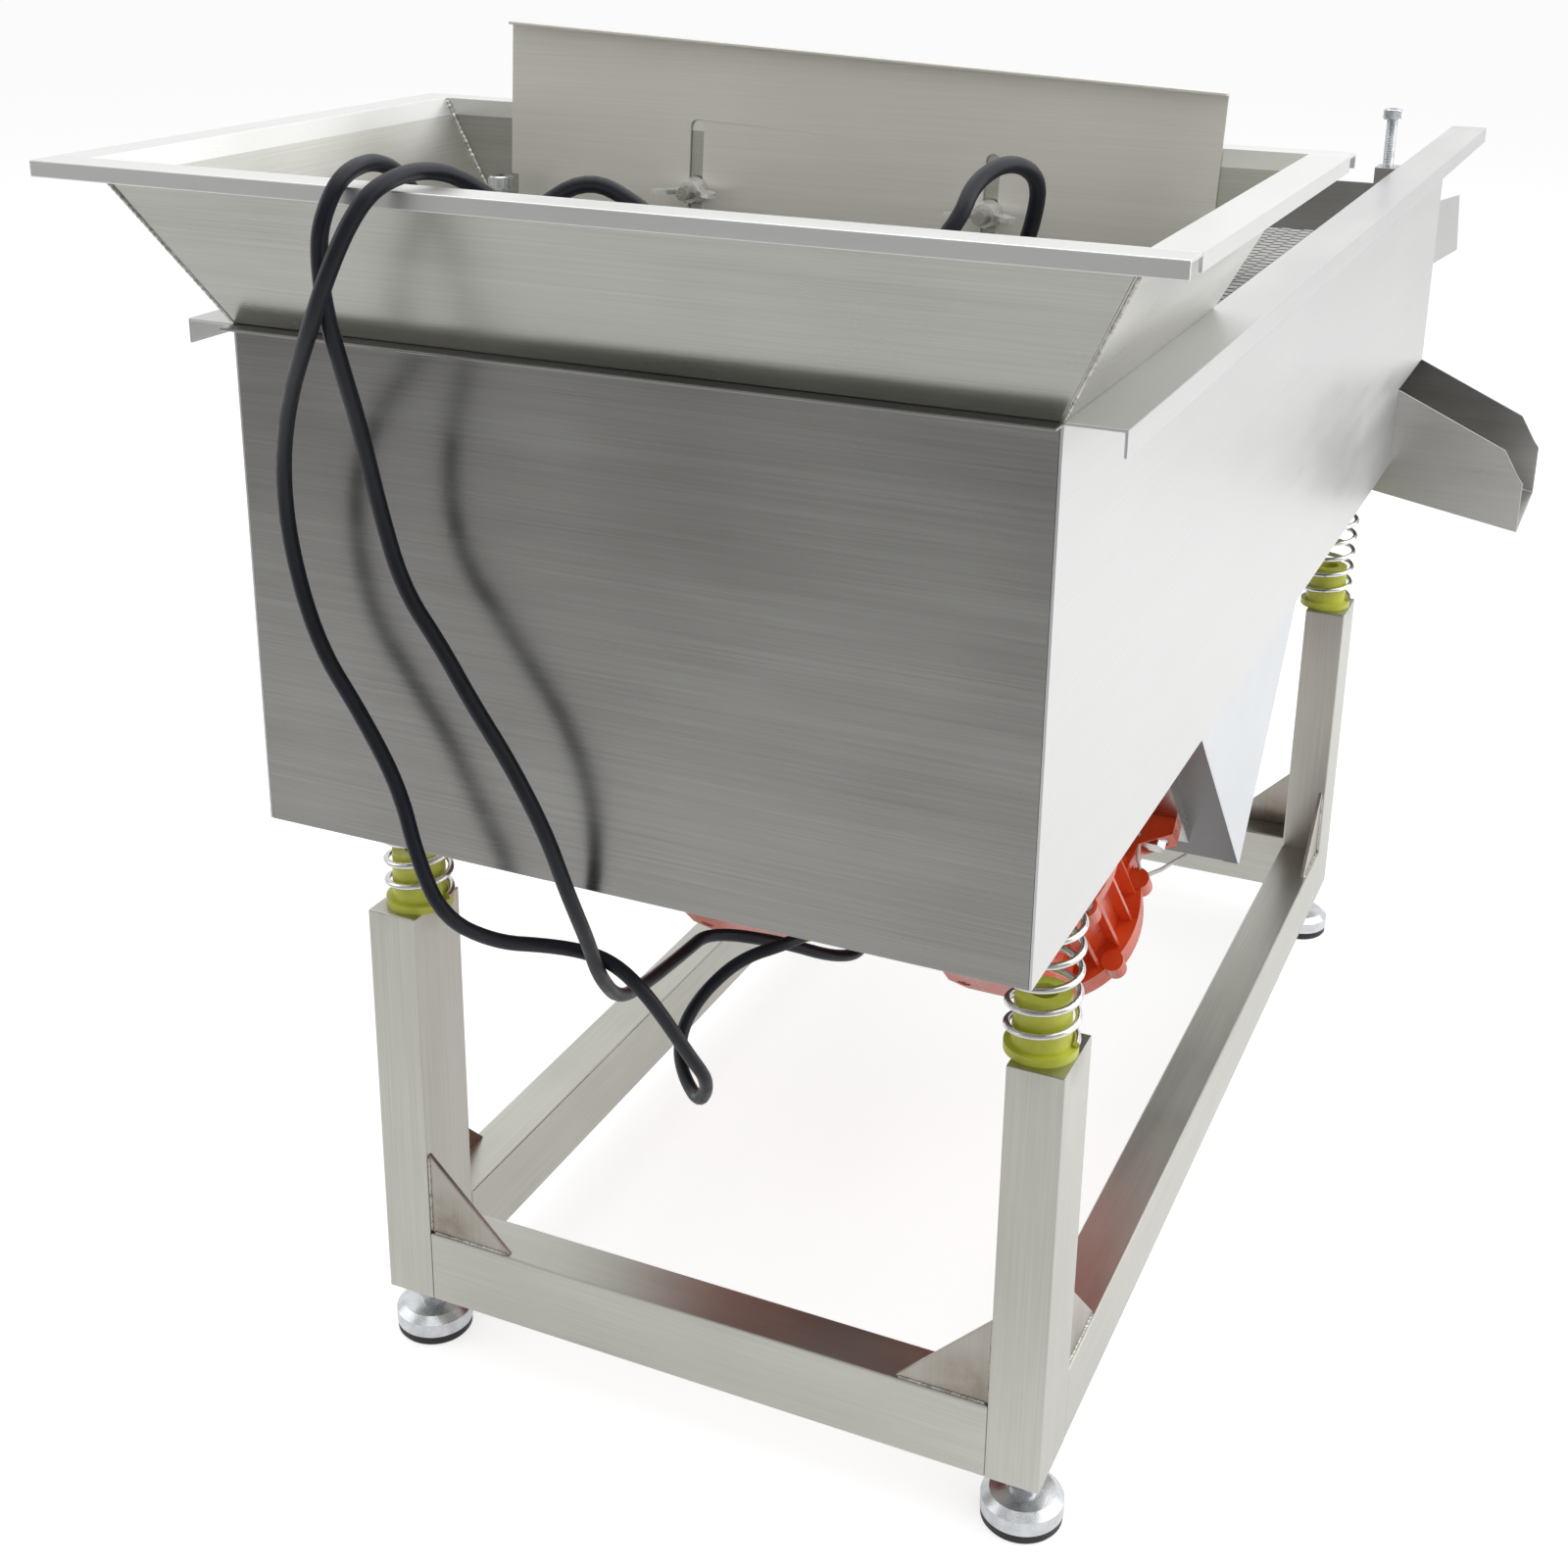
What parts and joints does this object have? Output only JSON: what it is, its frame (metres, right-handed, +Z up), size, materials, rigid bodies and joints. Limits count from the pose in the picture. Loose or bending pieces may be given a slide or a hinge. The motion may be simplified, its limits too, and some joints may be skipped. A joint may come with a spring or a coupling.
{
  "type": "linear vibrating sieve",
  "caption": "Linear vibrating sieve: feed hopper with sliding gate, sprung screen box, rear and side chutes, fines funnel and unbalance motors on a tube frame.",
  "frame": {"origin": "floor level under the middle of the base frame", "axes": "+Z up, +Y along the flow of material from the feed hopper to the rear chute, +X across towards the side chute"},
  "size_m": [0.7597, 1.7717, 1.0025],
  "materials": {
    "frame_steel": "brushed, welded seams",
    "box_steel": "brushed to bright sheet",
    "spring_steel": "bright plated wire",
    "polyurethane": "translucent satin",
    "zinc": "zinc plated",
    "rubber": "satin",
    "motor_red": "semi-gloss enamel on castings",
    "gland_plastic": "satin",
    "rotor_iron": "machined"
  },
  "bodies": {
    "frame": {"rail_front": "frame_steel", "rail_rear": "frame_steel", "rail_left": "frame_steel", "rail_right": "frame_steel", "post_front_left": "frame_steel", "post_front_right": "frame_steel", "post_rear_left": "frame_steel", "post_rear_right": "frame_steel", "frame_gussets": "frame_steel", "lower_seats": "polyurethane", "springs": "spring_steel", "foot_locknuts": "zinc"},
    "box": {"front_panel": "box_steel", "side_panel_left": "box_steel", "side_panel_right": "box_steel", "rear_panel": "box_steel", "upper_deck": "box_steel", "lower_deck": "box_steel", "deck_bars": "box_steel", "pan_floor": "box_steel", "hopper_left": "box_steel", "hopper_right": "box_steel", "hopper_front": "box_steel", "hopper_rear": "box_steel", "clamp_bosses": "box_steel", "cross_plate": "box_steel", "rear_chute": "box_steel", "side_chute": "box_steel", "fines_funnel": "box_steel", "motor_plate": "box_steel", "motor_housing_left": "motor_red", "motor_covers_left": "motor_red", "motor_housing_right": "motor_red", "motor_covers_right": "motor_red", "terminal_lids": "motor_red", "cable_glands": "gland_plastic", "foot_bolts": "zinc", "upper_seats": "polyurethane", "spring_brackets": "box_steel", "cable_front": "rubber", "cable_loop": "rubber", "coil_right": "rubber", "coil_left": "rubber"},
    "gate": {"gate_plate": "box_steel"},
    "foot_front_left": {"foot_front_left": "zinc", "foot_pad_front_left": "rubber"},
    "foot_front_right": {"foot_front_right": "zinc", "foot_pad_front_right": "rubber"},
    "foot_rear_left": {"foot_rear_left": "zinc", "foot_pad_rear_left": "rubber"},
    "foot_rear_right": {"foot_rear_right": "zinc", "foot_pad_rear_right": "rubber"},
    "wing_nut_left": {"wing_nut_left": "zinc"},
    "wing_nut_right": {"wing_nut_right": "zinc"},
    "clamp_screw_front_left": {"clamp_screw_front_left": "zinc"},
    "clamp_screw_front_right": {"clamp_screw_front_right": "zinc"},
    "clamp_screw_rear_left": {"clamp_screw_rear_left": "zinc"},
    "clamp_screw_rear_right": {"clamp_screw_rear_right": "zinc"},
    "rotor_left": {"motor_rotor_left": "rotor_iron"},
    "rotor_right": {"motor_rotor_right": "rotor_iron"}
  },
  "joints": [
    {"name": "foot_turn_front_left", "type": "hinge", "parent": "frame", "child": "foot_front_left", "pos_m": [-0.2475, -0.4865, 0], "axis": [0, 0, 1], "continuous": true},
    {"name": "foot_turn_front_right", "type": "hinge", "parent": "frame", "child": "foot_front_right", "pos_m": [0.2475, -0.4865, 0], "axis": [0, 0, 1], "continuous": true},
    {"name": "foot_turn_rear_left", "type": "hinge", "parent": "frame", "child": "foot_rear_left", "pos_m": [-0.2475, 0.4865, 0], "axis": [0, 0, 1], "continuous": true},
    {"name": "foot_turn_rear_right", "type": "hinge", "parent": "frame", "child": "foot_rear_right", "pos_m": [0.2475, 0.4865, 0], "axis": [0, 0, 1], "continuous": true},
    {"name": "box_throw", "type": "slide", "parent": "frame", "child": "box", "axis": [0, 0.7071, 0.7071], "range_m": [-0.003, 0.003], "stiffness_N_per_m": 42000, "springref_m": 0.02172, "deforming": ["springs"]},
    {"name": "gate_slide", "type": "slide", "parent": "box", "child": "gate", "axis": [0.0436, 0, 0.999], "range_m": [-0.034, 0.039]},
    {"name": "wing_nut_turn_left", "type": "hinge", "parent": "box", "child": "wing_nut_left", "pos_m": [-0.112, -0.29, 0.89], "axis": [0, 1, 0], "continuous": true},
    {"name": "wing_nut_turn_right", "type": "hinge", "parent": "box", "child": "wing_nut_right", "pos_m": [0.112, -0.29, 0.89], "axis": [0, 1, 0], "continuous": true},
    {"name": "clamp_screw_front_left_lift", "type": "slide", "parent": "box", "child": "clamp_screw_front_left", "axis": [0, 0, 1], "range_m": [0, 0.03]},
    {"name": "clamp_screw_front_right_lift", "type": "slide", "parent": "box", "child": "clamp_screw_front_right", "axis": [0, 0, 1], "range_m": [0, 0.03]},
    {"name": "clamp_screw_rear_left_lift", "type": "slide", "parent": "box", "child": "clamp_screw_rear_left", "axis": [0, 0, 1], "range_m": [0, 0.03]},
    {"name": "clamp_screw_rear_right_lift", "type": "slide", "parent": "box", "child": "clamp_screw_rear_right", "axis": [0, 0, 1], "range_m": [0, 0.03]},
    {"name": "rotor_spin_left", "type": "hinge", "parent": "box", "child": "rotor_left", "pos_m": [-0.12, -0.12738, 0.31896], "axis": [0, -0.7071, 0.7071], "continuous": true},
    {"name": "rotor_spin_right", "type": "hinge", "parent": "box", "child": "rotor_right", "pos_m": [0.12, -0.12738, 0.31896], "axis": [0, -0.7071, 0.7071], "continuous": true}
  ],
  "couplings": [
    {"joint": "rotor_spin_right", "follows": "rotor_spin_left", "ratio": -1}
  ]
}
